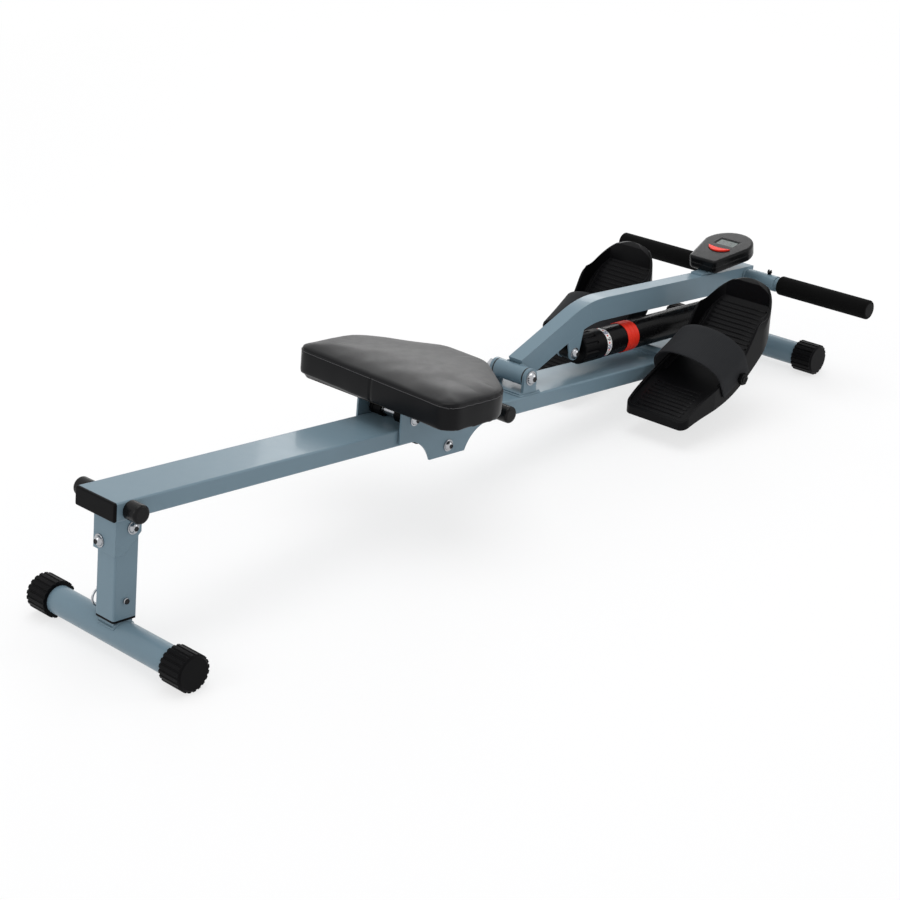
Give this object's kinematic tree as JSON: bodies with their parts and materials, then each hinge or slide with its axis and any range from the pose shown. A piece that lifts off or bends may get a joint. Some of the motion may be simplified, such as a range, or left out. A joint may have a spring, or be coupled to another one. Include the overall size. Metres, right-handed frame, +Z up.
{
  "type": "rowing machine",
  "caption": "Low home rower: sloping rail on two stabilizers, sliding padded seat, pulling arm with a hydraulic cylinder and dial, strapped tilting pedals, small monitor.",
  "frame": {"origin": "on the floor, midway between the two stabilizers, on the machine's middle plane", "axes": "+X forward from the seat to the pedals, +Y to the rower's left, +Z up"},
  "size_m": [1.3854, 0.494, 0.2321],
  "materials": {
    "frame_paint": "glossy blue-grey powder coat",
    "black_plastic": "fine-grained matt black",
    "pedal_plastic": "ribbed matt black",
    "case_plastic": "polished black",
    "stop_rubber": "smooth black",
    "grip_foam": "matt closed-cell foam",
    "zinc": "bright zinc plate",
    "vinyl": "soft-sheen black vinyl",
    "board_wood": "bare plywood",
    "barrel_paint": "gloss black",
    "ring_white": "white printed ring",
    "band_red": "gloss red",
    "lens": "clear grey",
    "circuit": "green laminate",
    "cell": "printed sleeve",
    "rod_chrome": "ground and plated",
    "nylon": "smooth nylon",
    "webbing": "woven charcoal webbing"
  },
  "bodies": {
    "frame": {"slide_rail": "frame_paint", "rail_end_plug": "black_plastic", "leg_bracket": "frame_paint", "rear_leg": "frame_paint", "leg_bolts": "zinc", "leg_collar": "black_plastic", "rear_stabilizer": "frame_paint", "front_stabilizer": "frame_paint", "stabilizer_caps": "black_plastic", "travel_stops": "stop_rubber", "hinge_bracket": "frame_paint", "arm_pivot_bolt": "zinc", "rod_bracket": "frame_paint", "rod_pin": "zinc", "pedal_axle": "frame_paint", "pedal_axle_nuts": "black_plastic"},
    "leg_pin": {"lock_pin": "zinc", "pull_ring": "zinc"},
    "carriage": {"carriage_plate_left": "frame_paint", "carriage_plate_right": "frame_paint", "carriage_axles": "zinc", "seat_base": "board_wood", "seat_cushion": "vinyl", "seat_screws": "zinc"},
    "rear_roller": {"rear_roller": "black_plastic"},
    "front_roller": {"front_roller": "black_plastic"},
    "under_roller": {"under_roller": "black_plastic"},
    "arm": {"arm_pivot_tube": "frame_paint", "pivot_bushes": "nylon", "row_arm": "frame_paint", "arm_root": "frame_paint", "t_tube": "frame_paint", "left_handle_tube": "frame_paint", "right_handle_tube": "frame_paint", "left_grip": "grip_foam", "right_grip": "grip_foam", "grip_end_plugs": "black_plastic", "handle_screws": "black_plastic", "cylinder_ears": "frame_paint", "ear_bolt": "zinc", "monitor_base": "case_plastic", "monitor_cover": "case_plastic", "monitor_window": "lens", "monitor_board": "circuit", "monitor_cell": "cell", "monitor_bracket": "frame_paint"},
    "reset_button": {"reset_button": "band_red"},
    "cylinder": {"cylinder_barrel": "barrel_paint", "number_ring": "ring_white", "cylinder_band": "band_red", "cylinder_gland": "black_plastic"},
    "dial": {"resistance_dial": "black_plastic"},
    "rod": {"piston_rod": "rod_chrome", "piston": "zinc"},
    "left_pedal": {"left_pedal": "pedal_plastic", "left_pedal_bush": "nylon", "left_strap": "webbing"},
    "right_pedal": {"right_pedal": "pedal_plastic", "right_pedal_bush": "nylon", "right_strap": "webbing"}
  },
  "joints": [
    {"name": "pin_pull", "type": "slide", "parent": "frame", "child": "leg_pin", "axis": [0, 1, 0], "range_m": [0, 0.06]},
    {"name": "seat_slide", "type": "slide", "parent": "frame", "child": "carriage", "axis": [0.9914, 0, -0.1305], "range_m": [-0.443, 0]},
    {"name": "rear_roller_spin", "type": "hinge", "parent": "carriage", "child": "rear_roller", "pos_m": [-0.17661, 0, 0.16218], "axis": [0, 1, 0], "range_deg": [-2312, 5]},
    {"name": "front_roller_spin", "type": "hinge", "parent": "carriage", "child": "front_roller", "pos_m": [-0.03086, 0, 0.14299], "axis": [0, 1, 0], "range_deg": [-2312, 5]},
    {"name": "under_roller_spin", "type": "hinge", "parent": "carriage", "child": "under_roller", "pos_m": [-0.11047, 0, 0.10143], "axis": [0, 1, 0], "range_deg": [-5, 1697]},
    {"name": "arm_swing", "type": "hinge", "parent": "frame", "child": "arm", "pos_m": [0.07602, 0, 0.14274], "axis": [0, -1, 0], "range_deg": [0, 50]},
    {"name": "button_press", "type": "slide", "parent": "arm", "child": "reset_button", "axis": [0.1305, 0, -0.9914], "range_m": [0, 0.0015], "stiffness_N_per_m": 300},
    {"name": "cylinder_tilt", "type": "hinge", "parent": "arm", "child": "cylinder", "pos_m": [0.20151, 0, 0.13832], "axis": [0, -1, 0], "range_deg": [-62.5, 0]},
    {"name": "dial_turn", "type": "hinge", "parent": "cylinder", "child": "dial", "pos_m": [0.20151, 0, 0.13832], "axis": [0.9938, 0, -0.1114], "range_deg": [0, 330]},
    {"name": "rod_tilt", "type": "hinge", "parent": "frame", "child": "rod", "pos_m": [0.61401, 0, 0.09208], "axis": [0, -1, 0], "range_deg": [-12.5, 0]},
    {"name": "left_pedal_tilt", "type": "hinge", "parent": "frame", "child": "left_pedal", "pos_m": [0.4058, 0.113, 0.08117], "axis": [0, 1, 0], "range_deg": [-5, 35]},
    {"name": "right_pedal_tilt", "type": "hinge", "parent": "frame", "child": "right_pedal", "pos_m": [0.4058, -0.113, 0.08117], "axis": [0, 1, 0], "range_deg": [-10, 30]}
  ],
  "couplings": [
    {"joint": "rear_roller_spin", "follows": "seat_slide", "rad_per_m": 90.909},
    {"joint": "front_roller_spin", "follows": "seat_slide", "rad_per_m": 90.909},
    {"joint": "under_roller_spin", "follows": "seat_slide", "rad_per_m": -66.667},
    {"joint": "cylinder_tilt", "follows": "arm_swing", "ratio": -1.24},
    {"joint": "rod_tilt", "follows": "arm_swing", "ratio": -0.24}
  ]
}
